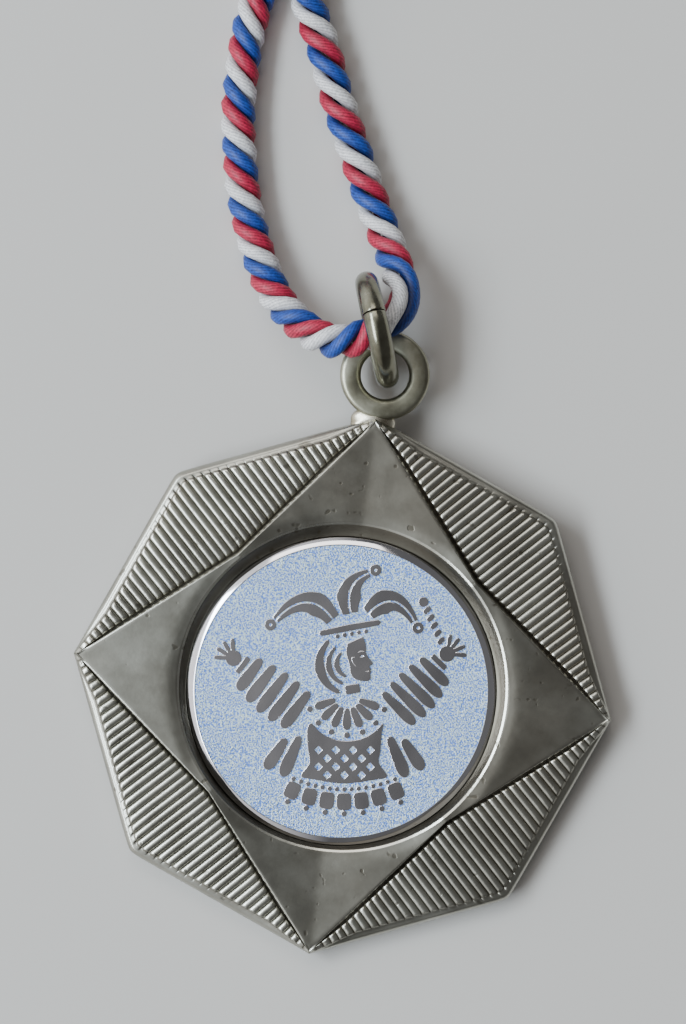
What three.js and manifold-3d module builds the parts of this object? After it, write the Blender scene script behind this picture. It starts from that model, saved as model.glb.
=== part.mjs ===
// An octagonal brass medal with a four-pointed star and a round centre disc. It hangs by a
// soldered eye from a bent jump ring, and the ring hangs on a twisted neck cord.
//
// Millimetres, +Z up. The medal lies face up on the surface z = 0 with its eye towards +Y. The
// jump ring stands on edge under the eye's top bar, so the medal leans on it by a small angle.
// The origin is on the surface, under the middle of the box of the medal and its ring.

import * as THREE from 'three';
import { mergeVertices } from 'three/addons/utils/BufferGeometryUtils.js';
import Module from 'manifold-3d';

const wasm = await Module();
wasm.setup();

// Medal plate: a regular octagon, a star corner and a plain corner in turn.
const PLATE_RADIUS = 22; // centre to corner
const PLATE_THICK = 2.1;
const EDGE_CHAMFER = 0.4;
const STAR_CORNER_ROUND = 0.35;
const PLAIN_CORNER_ROUND = 1.0;
const MEDAL_LEAN = THREE.MathUtils.degToRad(2.1);
const MEDAL_CENTRE_Y = -5.75;

// Star: four arms with a shallow fold along each, on the axes of the medal.
const STAR_TIP_RADIUS = 21.75;
const STAR_NOTCH_RADIUS = 13.65; // inner corners, on the diagonals
const STAR_TIP_HEIGHT = 2.4;
const STAR_NOTCH_HEIGHT = 3.5;
const STAR_FOLD_HEIGHT = 2.85; // where an arm's fold meets the seat
const STAR_FOLD_RADIUS = 12.6; // under the seat's cut, so that the folds run out into it
const STAR_SKIRT = 0.3; // how far the star's edge slopes outward on the diagonals
const TIP_SKIRT = 0.06; // and at the tips
const STAR_BASE = 1.2;

// Fluted fields between the star and the plate's edge.
const FLUTES_PER_FIELD = 47;
const FLUTE_HEIGHT = 0.25;
const FIELD_BASE = 2.06; // a little under the plate's face
const FIELD_EDGE_INSET = 0.45;
const FIELD_STAR_GAP = 0.3;
const FIELD_TIP_INSET = 1.08;
const FLUTE_CREST = [0.3, 0.7]; // where a flute's flat crest starts and ends across its pitch

// Seat for the centre disc, and a shallow round recess in the back.
const SEAT_RADIUS = 12.65; // round the disc's own centre
const SEAT_LIP_RADIUS = 13.4; // round the plate's centre
const SEAT_CONE_RADIUS = 12.8; // where the wall starts to lean out to the lip
const SEAT_CONE_BASE = 2.25;
const SEAT_LIP_FLARE = 0.05; // above the fold's height
const SEAT_FLOOR = 1.7;
const BACK_RECESS_RADIUS = 12.8;
const BACK_RECESS_DEPTH = 0.35;

// Centre disc and the adhesive pad under it. The disc was set by hand, a little low.
const DISC_RADIUS = 12.5;
const DISC_THICK = 0.55;
const DISC_RIM = 0.6; // width of the sloping rim
const DISC_RIM_DROP = 0.3;
const DISC_OFFSET = [-0.05, -0.35];
const PAD_RADIUS = 11.5;
const PAD_THICK = 0.15;
const SEAT_CLEARANCE = 0.1; // under the pad, and between pad and disc

// Suspension eye, lying in the plane of the medal at its top corner.
const EYE_CENTRE = [0.3, 25.5];
const EYE_RADIUS = 3.65;
const EYE_HOLE_RADIUS = 1.95;
const EYE_BOTTOM = 0.4;
const EYE_THICK = 1.9;
const EYE_ROUND = 0.5;
const EYE_TIP_GAP = 0.06;
const SOLDER_HALF_SIZE = [1.9, 0.95, 0.75];
const SOLDER_CENTRE = [-0.25, 21.85, 1.3];

// Jump ring, standing on edge.
const RING_WIRE_RADIUS = 0.95;
const RING_RADIUS = 3.85; // to the middle of the wire
const RING_FROM_MEDAL = [-0.8, 28.9];
const RING_YAW = THREE.MathUtils.degToRad(19.5);
const RING_SEAM_ANGLE = THREE.MathUtils.degToRad(73);
const RING_SEAM_GAP = 0.12;

// Neck cord: its two legs leave the ring, meet, and are wound together, one on the other.
const CORD_RADIUS = 1.4;
const CORD_LAY_HEIGHT = 1.45; // middle of a cord lying on the surface
const COIL_CENTRE_FROM_MEDAL = [-18, 85.5];
const COIL_MIDDLE_RADIUS = 16;
const COIL_TURNS = 3.5;
const CORD_PITCH = 2.9;
const COIL_LAYERS = 2;
const SECTION_SIDES = 8;
const OVERSHOOT = 1; // how far a cutter runs past what it cuts

// The cord's uncoiled stretch, relative to the medal's centre: x, y and height.
const CORD_ROUTE = [
  [-11.0, 62.4, 1.45],
  [-12.6, 60.0, 1.45],
  [-13.5, 57.3, 1.45],
  [-13.8, 54.4, 1.45],
  [-14.2, 51.9, 1.45],
  [-14.3, 48.2, 1.45],
  [-14.2, 45.3, 1.45],
  [-13.7, 42.1, 1.45],
  [-12.8, 38.2, 1.45],
  [-11.3, 34.3, 1.6],
  [-9.1, 30.5, 2.2],
  [-6.3, 28.2, 3.7],
  [-4.0, 27.5, 5.2],
  [-2.3, 27.9, 5.9],
  [-0.8, 28.9, 5.95],
  [0.5, 30.1, 5.8],
  [1.0, 31.5, 5.1],
  [0.6, 33.2, 3.9],
  [-0.5, 35.5, 2.3],
  [-2.5, 39.4, 1.5],
  [-4.4, 43.3, 1.45],
  [-6.3, 47.2, 1.45],
  [-7.8, 51.0, 1.45],
  [-9.7, 54.9, 1.6],
  [-10.3, 57.3, 2.6],
  [-10.6, 59.8, 4.0],
  [-9.9, 62.2, 4.35],
];

// Crimp that joins both cord ends where they leave the innermost turn, inside the coil.
const FERRULE_LENGTH = 9;
const FERRULE_WALL = 0.35;
const FERRULE_CLEARANCE = 0.1;
const FERRULE_SOCKET = 6;
const FERRULE_FROM_COIL = [-0.6, -4.6];

const medal = new THREE.Group();
medal.rotation.x = MEDAL_LEAN;
medal.position.set(0, MEDAL_CENTRE_Y - PLATE_RADIUS * Math.cos(MEDAL_LEAN), 0);
const face = new THREE.Group(); // the medal's own frame: origin at the middle of its back
face.position.y = PLATE_RADIUS;
medal.add(face);

const brass = new THREE.MeshStandardMaterial({ color: 0x77683f, metalness: 1, roughness: 0.4 });
const wireBrass = new THREE.MeshStandardMaterial({ color: 0x827a5c, metalness: 1, roughness: 0.3 });
const solder = new THREE.MeshStandardMaterial({ color: 0xb0a890, metalness: 1, roughness: 0.3 });
const etched = new THREE.MeshStandardMaterial({ color: 0xc9ccd8, metalness: 1, roughness: 0.45 });
const foam = new THREE.MeshStandardMaterial({ color: 0xe8e6df, metalness: 0, roughness: 0.9 });
const cloth = new THREE.MeshStandardMaterial({ color: 0xa8384a, metalness: 0, roughness: 0.8 });
const crimpBrass = new THREE.MeshStandardMaterial({ color: 0xb89a4e, metalness: 1, roughness: 0.3 });

function toSolid(geometry) {
  const bare = geometry.index ? geometry.toNonIndexed() : geometry.clone();
  bare.deleteAttribute('normal');
  bare.deleteAttribute('uv');
  const merged = mergeVertices(bare, 1e-4);
  return new wasm.Manifold(new wasm.Mesh({
    numProp: 3,
    vertProperties: new Float32Array(merged.attributes.position.array),
    triVerts: new Uint32Array(merged.index.array),
  }));
}

function toGeometry(solid) {
  const mesh = solid.getMesh();
  const geometry = new THREE.BufferGeometry();
  geometry.setAttribute('position', new THREE.BufferAttribute(mesh.vertProperties, 3));
  geometry.setIndex(new THREE.BufferAttribute(mesh.triVerts, 1));
  geometry.computeVertexNormals();
  return geometry;
}

function addMesh(group, name, geometry, material) {
  const mesh = new THREE.Mesh(geometry, material);
  mesh.name = name;
  group.add(mesh);
  return mesh;
}

const polar = (radius, angle) => new THREE.Vector2(radius * Math.cos(angle), radius * Math.sin(angle));

// A closed outline whose corners are rounded, each by its own radius.
function roundedOutline(corners, rounds) {
  const shape = new THREE.Shape();
  corners.forEach((corner, i) => {
    const before = corners[(i + corners.length - 1) % corners.length];
    const after = corners[(i + 1) % corners.length];
    const back = before.clone().sub(corner).normalize();
    const on = after.clone().sub(corner).normalize();
    const cut = rounds[i] / Math.tan(Math.acos(back.dot(on)) / 2);
    const start = corner.clone().addScaledVector(back, cut);
    const end = corner.clone().addScaledVector(on, cut);
    if (i === 0) shape.moveTo(start.x, start.y);
    else shape.lineTo(start.x, start.y);
    shape.quadraticCurveTo(corner.x, corner.y, end.x, end.y);
  });
  shape.closePath();
  return shape;
}

function octagonPlate() {
  const corners = [];
  const rounds = [];
  for (let i = 0; i < 8; i += 1) {
    corners.push(polar(PLATE_RADIUS - EDGE_CHAMFER, (i * Math.PI) / 4));
    rounds.push(i % 2 === 0 ? STAR_CORNER_ROUND : PLAIN_CORNER_ROUND);
  }
  const geometry = new THREE.ExtrudeGeometry(roundedOutline(corners, rounds), {
    depth: PLATE_THICK - 2 * EDGE_CHAMFER,
    bevelThickness: EDGE_CHAMFER,
    bevelSize: EDGE_CHAMFER,
    bevelSegments: 1,
    curveSegments: 4,
  });
  geometry.translate(0, 0, EDGE_CHAMFER);
  return toSolid(geometry);
}

// The star as a closed shell: folded arms above, a flat base below, sloping skirts between.
function starBlock() {
  const top = [];
  const base = [];
  for (let i = 0; i < 8; i += 1) {
    const isTip = i % 2 === 0;
    const radius = isTip ? STAR_TIP_RADIUS : STAR_NOTCH_RADIUS;
    const point = polar(radius, (i * Math.PI) / 4);
    const foot = polar(radius + (isTip ? TIP_SKIRT : STAR_SKIRT), (i * Math.PI) / 4);
    top.push([point.x, point.y, isTip ? STAR_TIP_HEIGHT : STAR_NOTCH_HEIGHT]);
    base.push([foot.x, foot.y, STAR_BASE]);
  }
  const folds = [0, 1, 2, 3].map((i) => {
    const point = polar(STAR_FOLD_RADIUS, (i * Math.PI) / 2);
    return [point.x, point.y, STAR_FOLD_HEIGHT];
  });
  const middleTop = [0, 0, STAR_FOLD_HEIGHT];
  const middleBase = [0, 0, STAR_BASE];
  const faces = [];
  for (let i = 0; i < 8; i += 1) {
    const next = (i + 1) % 8;
    const tip = i % 2 === 0 ? i : next;
    const fold = folds[(tip / 2) % 4];
    faces.push([top[i], top[next], fold]);
    faces.push([base[next], base[i], middleBase]);
    faces.push([base[i], base[next], top[next]], [base[i], top[next], top[i]]);
    if (i % 2 === 1) faces.push([folds[((i - 1) / 2) % 4], top[i], folds[((i + 1) / 2) % 4]]);
  }
  for (let i = 0; i < 4; i += 1) faces.push([folds[i], folds[(i + 1) % 4], middleTop]);
  const geometry = new THREE.BufferGeometry();
  geometry.setAttribute('position', new THREE.Float32BufferAttribute(faces.flat(2), 3));
  return toSolid(geometry);
}

// One fluted field: ridges that run along the diagonal, cut to the kite between two star arms.
function flutedField(turn) {
  const width = PLATE_RADIUS * Math.SQRT2;
  const pitch = width / FLUTES_PER_FIELD;
  const ridge = new THREE.Shape();
  ridge.moveTo(-width / 2, STAR_BASE);
  for (let i = 0; i < FLUTES_PER_FIELD; i += 1) {
    const left = -width / 2 + i * pitch;
    ridge.lineTo(left, FIELD_BASE);
    ridge.lineTo(left + pitch * FLUTE_CREST[0], FIELD_BASE + FLUTE_HEIGHT);
    ridge.lineTo(left + pitch * FLUTE_CREST[1], FIELD_BASE + FLUTE_HEIGHT);
  }
  ridge.lineTo(width / 2, FIELD_BASE);
  ridge.lineTo(width / 2, STAR_BASE);
  ridge.closePath();
  const ridges = new THREE.ExtrudeGeometry(ridge, { depth: PLATE_RADIUS, bevelEnabled: false });
  ridges.rotateX(Math.PI / 2); // profile upright, ridges along -Y
  ridges.translate(0, PLATE_RADIUS + OVERSHOOT, 0); // past the corner
  ridges.rotateZ(-Math.PI / 4); // the diagonal at 45 degrees

  const outline = new THREE.Shape([
    polar(PLATE_RADIUS - FIELD_TIP_INSET, 0),
    polar(PLATE_RADIUS - FIELD_EDGE_INSET, Math.PI / 4),
    polar(PLATE_RADIUS - FIELD_TIP_INSET, Math.PI / 2),
    polar(STAR_NOTCH_RADIUS + FIELD_STAR_GAP + STAR_SKIRT, Math.PI / 4),
  ]);
  const kite = new THREE.ExtrudeGeometry(outline, { depth: 2 * PLATE_THICK, bevelEnabled: false });
  const field = toSolid(ridges).intersect(toSolid(kite));
  return field.rotate([0, 0, (turn * 180) / Math.PI]);
}

// A solid of revolution about +Z from points [radius, height].
function turned(points, segments) {
  const geometry = new THREE.LatheGeometry(points.map(([r, z]) => new THREE.Vector2(r, z)), segments);
  return geometry.rotateX(Math.PI / 2);
}

// A straight seat round the disc, opening into a cone whose rim is the bezel's lip.
function seatCutter() {
  const top = STAR_NOTCH_HEIGHT + OVERSHOOT;
  const seat = turned([[0, SEAT_FLOOR], [SEAT_RADIUS, SEAT_FLOOR], [SEAT_RADIUS, top], [0, top]], 72);
  seat.translate(...DISC_OFFSET, 0);
  const cone = turned(
    [[0, SEAT_CONE_BASE], [SEAT_CONE_RADIUS, SEAT_CONE_BASE], [SEAT_LIP_RADIUS, STAR_FOLD_HEIGHT],
      [SEAT_LIP_RADIUS + SEAT_LIP_FLARE, top], [0, top]],
    72,
  );
  return toSolid(seat).add(toSolid(cone));
}

function backCutter() {
  return toSolid(turned(
    [[0, -OVERSHOOT], [BACK_RECESS_RADIUS, -OVERSHOOT], [BACK_RECESS_RADIUS, BACK_RECESS_DEPTH],
      [0, BACK_RECESS_DEPTH]],
    60,
  ));
}

// The eye's closed ring section with rounded edges; grow makes the cutter that clears it.
function eyeRing(grow) {
  const half = (EYE_RADIUS - EYE_HOLE_RADIUS) / 2 + grow;
  const middle = (EYE_RADIUS + EYE_HOLE_RADIUS) / 2;
  const low = EYE_BOTTOM - grow;
  const high = EYE_BOTTOM + EYE_THICK + grow;
  const r = EYE_ROUND;
  const section = [
    [middle - half + r, low], [middle + half - r, low], [middle + half, low + r],
    [middle + half, high - r], [middle + half - r, high], [middle - half + r, high],
    [middle - half, high - r], [middle - half, low + r], [middle - half + r, low],
  ];
  return turned(section, 40).translate(EYE_CENTRE[0], EYE_CENTRE[1], 0);
}

// The bead of solder that wets the plate's top corner and the eye, more of it on the left.
function solderBead(plate, eyeCutter) {
  const bead = new THREE.SphereGeometry(1, 18, 12);
  bead.scale(...SOLDER_HALF_SIZE);
  bead.translate(...SOLDER_CENTRE);
  const whole = toSolid(bead).subtract(eyeCutter).subtract(plate);
  const bodies = whole.decompose();
  bodies.sort((a, b) => b.volume() - a.volume());
  return bodies[0];
}

function discGeometry() {
  const low = SEAT_FLOOR + PAD_THICK + 2 * SEAT_CLEARANCE;
  const high = low + DISC_THICK;
  return turned(
    [[0, low], [DISC_RADIUS, low], [DISC_RADIUS, high - DISC_RIM_DROP], [DISC_RADIUS - DISC_RIM, high],
      [0, high]],
    72,
  ).translate(DISC_OFFSET[0], DISC_OFFSET[1], 0);
}

function padGeometry() {
  const low = SEAT_FLOOR + SEAT_CLEARANCE;
  const profile = [[0, low], [PAD_RADIUS, low], [PAD_RADIUS, low + PAD_THICK], [0, low + PAD_THICK]];
  return turned(profile, 48).translate(DISC_OFFSET[0], DISC_OFFSET[1], 0);
}

function jumpRingGeometry() {
  const whole = toSolid(new THREE.TorusGeometry(RING_RADIUS, RING_WIRE_RADIUS, 12, 48));
  const saw = new THREE.BoxGeometry(4 * RING_WIRE_RADIUS, RING_SEAM_GAP, 4 * RING_WIRE_RADIUS);
  saw.translate(RING_RADIUS, 0, 0);
  saw.rotateZ(RING_SEAM_ANGLE);
  return toGeometry(whole.subtract(toSolid(saw)));
}

function cordSection() {
  const section = new THREE.Shape();
  for (let i = 0; i < SECTION_SIDES; i += 1) {
    const point = polar(CORD_RADIUS, ((i + 0.5) * 2 * Math.PI) / SECTION_SIDES);
    if (i === 0) section.moveTo(point.x, point.y);
    else section.lineTo(point.x, point.y);
  }
  section.closePath();
  return section;
}

function cordTube(points, steps) {
  const path = new THREE.CatmullRomCurve3(points.map((p) => new THREE.Vector3(...p)));
  return new THREE.ExtrudeGeometry(cordSection(), { steps, extrudePath: path, bevelEnabled: false });
}

function coilGeometry() {
  const half = ((COIL_TURNS + 1) * CORD_PITCH) / 2;
  const low = CORD_LAY_HEIGHT - CORD_RADIUS;
  const high = low + COIL_LAYERS * CORD_PITCH;
  const inner = COIL_MIDDLE_RADIUS - half;
  const outer = COIL_MIDDLE_RADIUS + half;
  const edge = CORD_RADIUS / 2;
  return turned(
    [[inner, low], [outer - edge, low], [outer, low + edge], [outer, high - edge],
      [outer - edge, high], [inner, high], [inner, low]],
    48,
  );
}

function ferruleGeometry() {
  const halfHeight = ((COIL_LAYERS - 1) * CORD_PITCH) / 2;
  const outline = (radius) => {
    const shape = new THREE.Shape();
    shape.absarc(0, halfHeight, radius, 0, Math.PI);
    shape.absarc(0, -halfHeight, radius, Math.PI, 2 * Math.PI);
    shape.closePath();
    return shape;
  };
  const inside = CORD_RADIUS + FERRULE_CLEARANCE;
  const options = { bevelEnabled: false, curveSegments: 8 };
  const outer = new THREE.ExtrudeGeometry(
    outline(inside + FERRULE_WALL),
    { ...options, depth: FERRULE_LENGTH },
  );
  const socket = new THREE.ExtrudeGeometry(
    outline(inside),
    { ...options, depth: FERRULE_SOCKET + OVERSHOOT },
  );
  socket.translate(0, 0, -OVERSHOOT);
  const shell = toGeometry(toSolid(outer).subtract(toSolid(socket)));
  shell.translate(0, 0, -FERRULE_LENGTH / 2);
  return shell.rotateX(Math.PI / 2).rotateZ(Math.PI / 2); // mouth towards -X, stadium upright
}

function buildMedal() {
  let plate = octagonPlate().add(starBlock());
  for (let i = 0; i < 4; i += 1) plate = plate.add(flutedField((i * Math.PI) / 2));
  const eyeCutter = toSolid(eyeRing(EYE_TIP_GAP));
  plate = plate.subtract(seatCutter()).subtract(backCutter()).subtract(eyeCutter);
  const grownPlate = plate.translate([0, EYE_TIP_GAP, 0]);
  addMesh(face, 'medal_plate', toGeometry(plate), brass);
  addMesh(face, 'suspension_eye', eyeRing(0), brass);
  addMesh(face, 'solder_fillet', toGeometry(solderBead(plate.add(grownPlate), eyeCutter)), solder);
  addMesh(face, 'adhesive_pad', padGeometry(), foam);
  addMesh(face, 'insert_disc', discGeometry(), etched);
}

function buildRing() {
  const stand = new THREE.Group();
  stand.rotation.z = Math.PI / 2 + RING_YAW;
  stand.position.set(
    RING_FROM_MEDAL[0],
    RING_FROM_MEDAL[1] + MEDAL_CENTRE_Y,
    RING_RADIUS + RING_WIRE_RADIUS,
  );
  addMesh(stand, 'jump_ring', jumpRingGeometry(), wireBrass).rotation.x = Math.PI / 2;
  part.add(stand);
}

function buildCord() {
  const cord = new THREE.Group();
  cord.position.y = MEDAL_CENTRE_Y;
  addMesh(cord, 'neck_cord_run', cordTube(CORD_ROUTE, 60), cloth);
  const coil = new THREE.Group();
  coil.position.set(...COIL_CENTRE_FROM_MEDAL, 0);
  addMesh(coil, 'neck_cord_coil', coilGeometry(), cloth);
  const ferrule = addMesh(coil, 'end_ferrule', ferruleGeometry(), crimpBrass);
  ferrule.position.set(...FERRULE_FROM_COIL, CORD_LAY_HEIGHT + CORD_PITCH / 2);
  cord.add(coil);
  part.add(cord);
}

const part = new THREE.Group();
part.add(medal);
buildMedal();
buildRing();
buildCord();

export default part;
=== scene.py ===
"""The looks of an octagonal brass medal with an etched centre disc on a twisted neck cord.

Metres, +Z up, in the row frame. Lengths in the constants are in millimetres, as on a drawing,
and MM turns them into metres.
"""

import math

import bmesh
import bpy
import numpy as np
from mathutils import Matrix, Vector


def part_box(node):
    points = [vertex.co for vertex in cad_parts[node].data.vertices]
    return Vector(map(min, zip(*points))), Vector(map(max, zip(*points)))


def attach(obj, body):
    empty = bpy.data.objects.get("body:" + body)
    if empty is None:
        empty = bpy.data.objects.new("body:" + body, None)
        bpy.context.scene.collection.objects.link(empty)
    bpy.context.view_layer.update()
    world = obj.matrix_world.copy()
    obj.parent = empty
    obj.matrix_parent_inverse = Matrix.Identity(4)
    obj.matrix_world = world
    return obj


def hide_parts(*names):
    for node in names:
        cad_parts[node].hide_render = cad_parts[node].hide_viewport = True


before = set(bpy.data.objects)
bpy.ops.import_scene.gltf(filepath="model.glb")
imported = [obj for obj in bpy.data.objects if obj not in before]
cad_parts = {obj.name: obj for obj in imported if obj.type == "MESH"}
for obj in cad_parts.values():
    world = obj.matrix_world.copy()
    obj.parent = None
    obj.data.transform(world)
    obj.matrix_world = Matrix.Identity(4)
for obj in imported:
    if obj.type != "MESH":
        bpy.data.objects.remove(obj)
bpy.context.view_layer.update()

MM = 0.001

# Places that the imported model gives
LEAN = math.radians(2.1)  # the medal leans on its ring
DISC_OFFSET = (-0.05, -0.35)  # the disc's centre in the medal's own frame
DISC_LOW, DISC_HIGH = 2.05, 2.60  # the disc's faces above the medal's back
COIL_FROM_MEDAL = (-18.0, 85.5)
RING_YAW = math.radians(19.5)
RING_WIRE, RING_RADIUS = 0.95, 3.85


def middle(node):
    low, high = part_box(node)
    return (low + high) / 2


MEDAL = (
    Matrix.Translation(middle("insert_disc"))
    @ Matrix.Rotation(LEAN, 4, "X")
    @ Matrix.Translation(
        Vector((-DISC_OFFSET[0], -DISC_OFFSET[1], -(DISC_LOW + DISC_HIGH) / 2)) * MM
    )
)
COIL = middle("neck_cord_coil")
CORD_ORIGIN = Vector((COIL.x - COIL_FROM_MEDAL[0] * MM, COIL.y - COIL_FROM_MEDAL[1] * MM, 0))


# -------- camera

CAMERA_HEIGHT = 300.0
VIEW_HEIGHT = 83.1  # what the frame's height spans at the disc
VIEW_CENTRE = (-1.7, 14.0)  # from the medal's centre
VIEW_ROLL = math.radians(7.1)
SENSOR = 36.0


def make_camera():
    data = bpy.data.cameras.new("camera")
    data.sensor_fit = "VERTICAL"
    data.sensor_height = SENSOR
    data.lens = SENSOR * (CAMERA_HEIGHT - DISC_HIGH) / VIEW_HEIGHT
    data.clip_start = 0.01
    camera = bpy.data.objects.new("camera", data)
    bpy.context.collection.objects.link(camera)
    x, y = (CORD_ORIGIN + Vector(VIEW_CENTRE).to_3d() * MM).xy
    camera.location = (x, y, CAMERA_HEIGHT * MM)
    camera.rotation_euler = (0, 0, VIEW_ROLL)
    bpy.context.scene.camera = camera


make_camera()


# -------- node helpers


class Nodes:
    """A small builder for a material's node tree."""

    def __init__(self, name):
        self.material = bpy.data.materials.new(name)
        self.material.use_nodes = True
        self.tree = self.material.node_tree
        self.shader = self.tree.nodes["Principled BSDF"]

    def add(self, kind, **inputs):
        node = self.tree.nodes.new(kind)
        for key, value in inputs.items():
            self.put(node, key, value)
        return node

    def put(self, node, key, value):
        socket = node.inputs[key if isinstance(key, int) else key.replace("_", " ")]
        if isinstance(value, bpy.types.NodeSocket):
            self.tree.links.new(value, socket)
        else:
            socket.default_value = value

    def set(self, **inputs):
        for key, value in inputs.items():
            self.put(self.shader, key, value)

    def math(self, operation, a, b=0.0):
        node = self.add("ShaderNodeMath")
        node.operation = operation
        self.put(node, 0, a)
        self.put(node, 1, b)
        return node.outputs[0]

    def attribute(self, name):
        node = self.add("ShaderNodeAttribute")
        node.attribute_name = name
        return node.outputs["Fac"]

    def noise(self, scale, detail=2.0, roughness=0.5):
        node = self.add("ShaderNodeTexNoise", Scale=scale, Detail=detail, Roughness=roughness)
        position = self.add("ShaderNodeNewGeometry").outputs["Position"]
        self.put(node, "Vector", position)
        return node.outputs["Fac"]

    def ramp(self, value, stops):
        node = self.add("ShaderNodeValToRGB", Fac=value)
        elements = node.color_ramp.elements
        while len(elements) < len(stops):
            elements.new(0.5)
        for element, (place, colour) in zip(elements, stops):
            element.position = place
            element.color = (*colour, 1.0)
        return node.outputs["Color"]

    def grey(self, value, low, high, out_low=0.0, out_high=1.0):
        span = {"From_Min": low, "From_Max": high, "To_Min": out_low, "To_Max": out_high}
        node = self.add("ShaderNodeMapRange", Value=value, **span)
        return node.outputs["Result"]

    def mix(self, factor, a, b):
        node = self.tree.nodes.new("ShaderNodeMix")
        node.data_type = "RGBA"
        self.put(node, 0, factor)
        for index, value in ((6, a), (7, b)):
            self.put(node, index, (*value, 1.0) if isinstance(value, tuple) else value)
        return node.outputs[2]

    def bump(self, height, distance, strength=1.0, normal=None):
        node = self.add("ShaderNodeBump", Height=height, Distance=distance, Strength=strength)
        if normal is not None:
            self.put(node, "Normal", normal)
        return node.outputs["Normal"]


def new_object(name, verts, faces, smooth=True, transform=None):
    mesh = bpy.data.meshes.new(name)
    verts = np.asarray(verts, float) * MM
    mesh.from_pydata(verts.tolist(), [], [list(map(int, f)) for f in faces])
    if transform is not None:
        mesh.transform(transform)
    mesh.validate()
    mesh.polygons.foreach_set("use_smooth", [smooth] * len(mesh.polygons))
    obj = bpy.data.objects.new(name, mesh)
    bpy.context.collection.objects.link(obj)
    return obj


def face_out(obj):
    bm = bmesh.new()
    bm.from_mesh(obj.data)
    bmesh.ops.recalc_face_normals(bm, faces=bm.faces)
    bm.to_mesh(obj.data)
    bm.free()


# -------- cord

CORD_DIAMETER = 2.9
COIL_MIDDLE_RADIUS = 16.0
COIL_TURNS = 3.5
COIL_STEPS = 36  # points on each turn
FERRULE_FROM_COIL = (-0.6, -4.6)
FERRULE_LENGTH = 9.0
TAIL_BEND = 6.2

# The cord's uncoiled stretch from the medal's centre: x, y and height, as in the CAD model.
LEFT_LEG = [
    (-0.8, 28.9, 5.95),
    (-2.3, 27.9, 5.9),
    (-4.0, 27.5, 5.2),
    (-6.3, 28.2, 3.7),
    (-9.1, 30.5, 2.2),
    (-11.3, 34.3, 1.6),
    (-12.8, 38.2, 1.45),
    (-13.7, 42.1, 1.45),
    (-14.2, 45.3, 1.45),
    (-14.3, 48.2, 1.45),
    (-14.2, 51.9, 1.45),
    (-13.8, 54.4, 1.45),
    (-13.5, 57.3, 1.45),
    (-12.6, 60.0, 1.45),
    (-11.0, 62.4, 1.45),
]
RIGHT_LEG = [
    (-0.8, 28.9, 5.95),
    (0.5, 30.1, 5.8),
    (1.0, 31.5, 5.1),
    (0.6, 33.2, 3.9),
    (-0.5, 35.5, 2.3),
    (-2.5, 39.4, 1.5),
    (-4.4, 43.3, 1.45),
    (-6.3, 47.2, 1.45),
    (-7.8, 51.0, 1.45),
    (-9.7, 54.9, 1.6),
    (-10.3, 57.3, 2.6),
    (-10.6, 59.8, 4.0),
    (-9.9, 62.2, 4.35),
]
ROPE_STEP = 0.5
# A strand's radius and its distance from the cord's middle, where laid tight and where slack.
TIGHT_STRAND = (0.58, 0.88)
SLACK_STRAND = (0.68, 0.74)
STRAND_SIDES = 12
YARNS = 13
YARN_PITCH = 4.6
LAY_START = -0.4
# Each leg's lay: its pitch, the turns it has lost next to the ring, and over what length.
LEFT_LAY = (4.83, 0.25, 9.0)
RIGHT_LAY = (5.92, 0.55, 6.0)


def coil_points(leg_end):
    """A layer's turns, from where a leg joins them to the crimp in the coil's hole."""
    outer = COIL_MIDDLE_RADIUS + COIL_TURNS * CORD_DIAMETER / 2
    centre = np.array(COIL_FROM_MEDAL)
    away = np.array(leg_end[:2]) - centre
    reach = np.hypot(*away)
    start = math.atan2(away[1], away[0]) + math.acos(outer / reach)
    points = []
    for i in range(int(COIL_TURNS * COIL_STEPS) + 1):
        angle = start + i * math.tau / COIL_STEPS
        radius = outer - CORD_DIAMETER * i / COIL_STEPS
        points.append((radius * math.cos(angle), radius * math.sin(angle)))
    heading = angle + math.pi / 2
    hub = np.array(points[-1]) + TAIL_BEND * np.array([-math.sin(heading), math.cos(heading)])
    sweep = (math.tau * 10 - heading) % math.tau
    for i in range(1, 9):
        at = heading + sweep * i / 8 - math.pi / 2
        points.append(tuple(hub + TAIL_BEND * np.array([math.cos(at), math.sin(at)])))
    mouth = FERRULE_FROM_COIL[0] - FERRULE_LENGTH / 2
    points.append((mouth + 2.5, FERRULE_FROM_COIL[1]))
    points.append((mouth + 5.0, FERRULE_FROM_COIL[1]))
    return [(centre[0] + x, centre[1] + y, leg_end[2]) for x, y in points]


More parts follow.
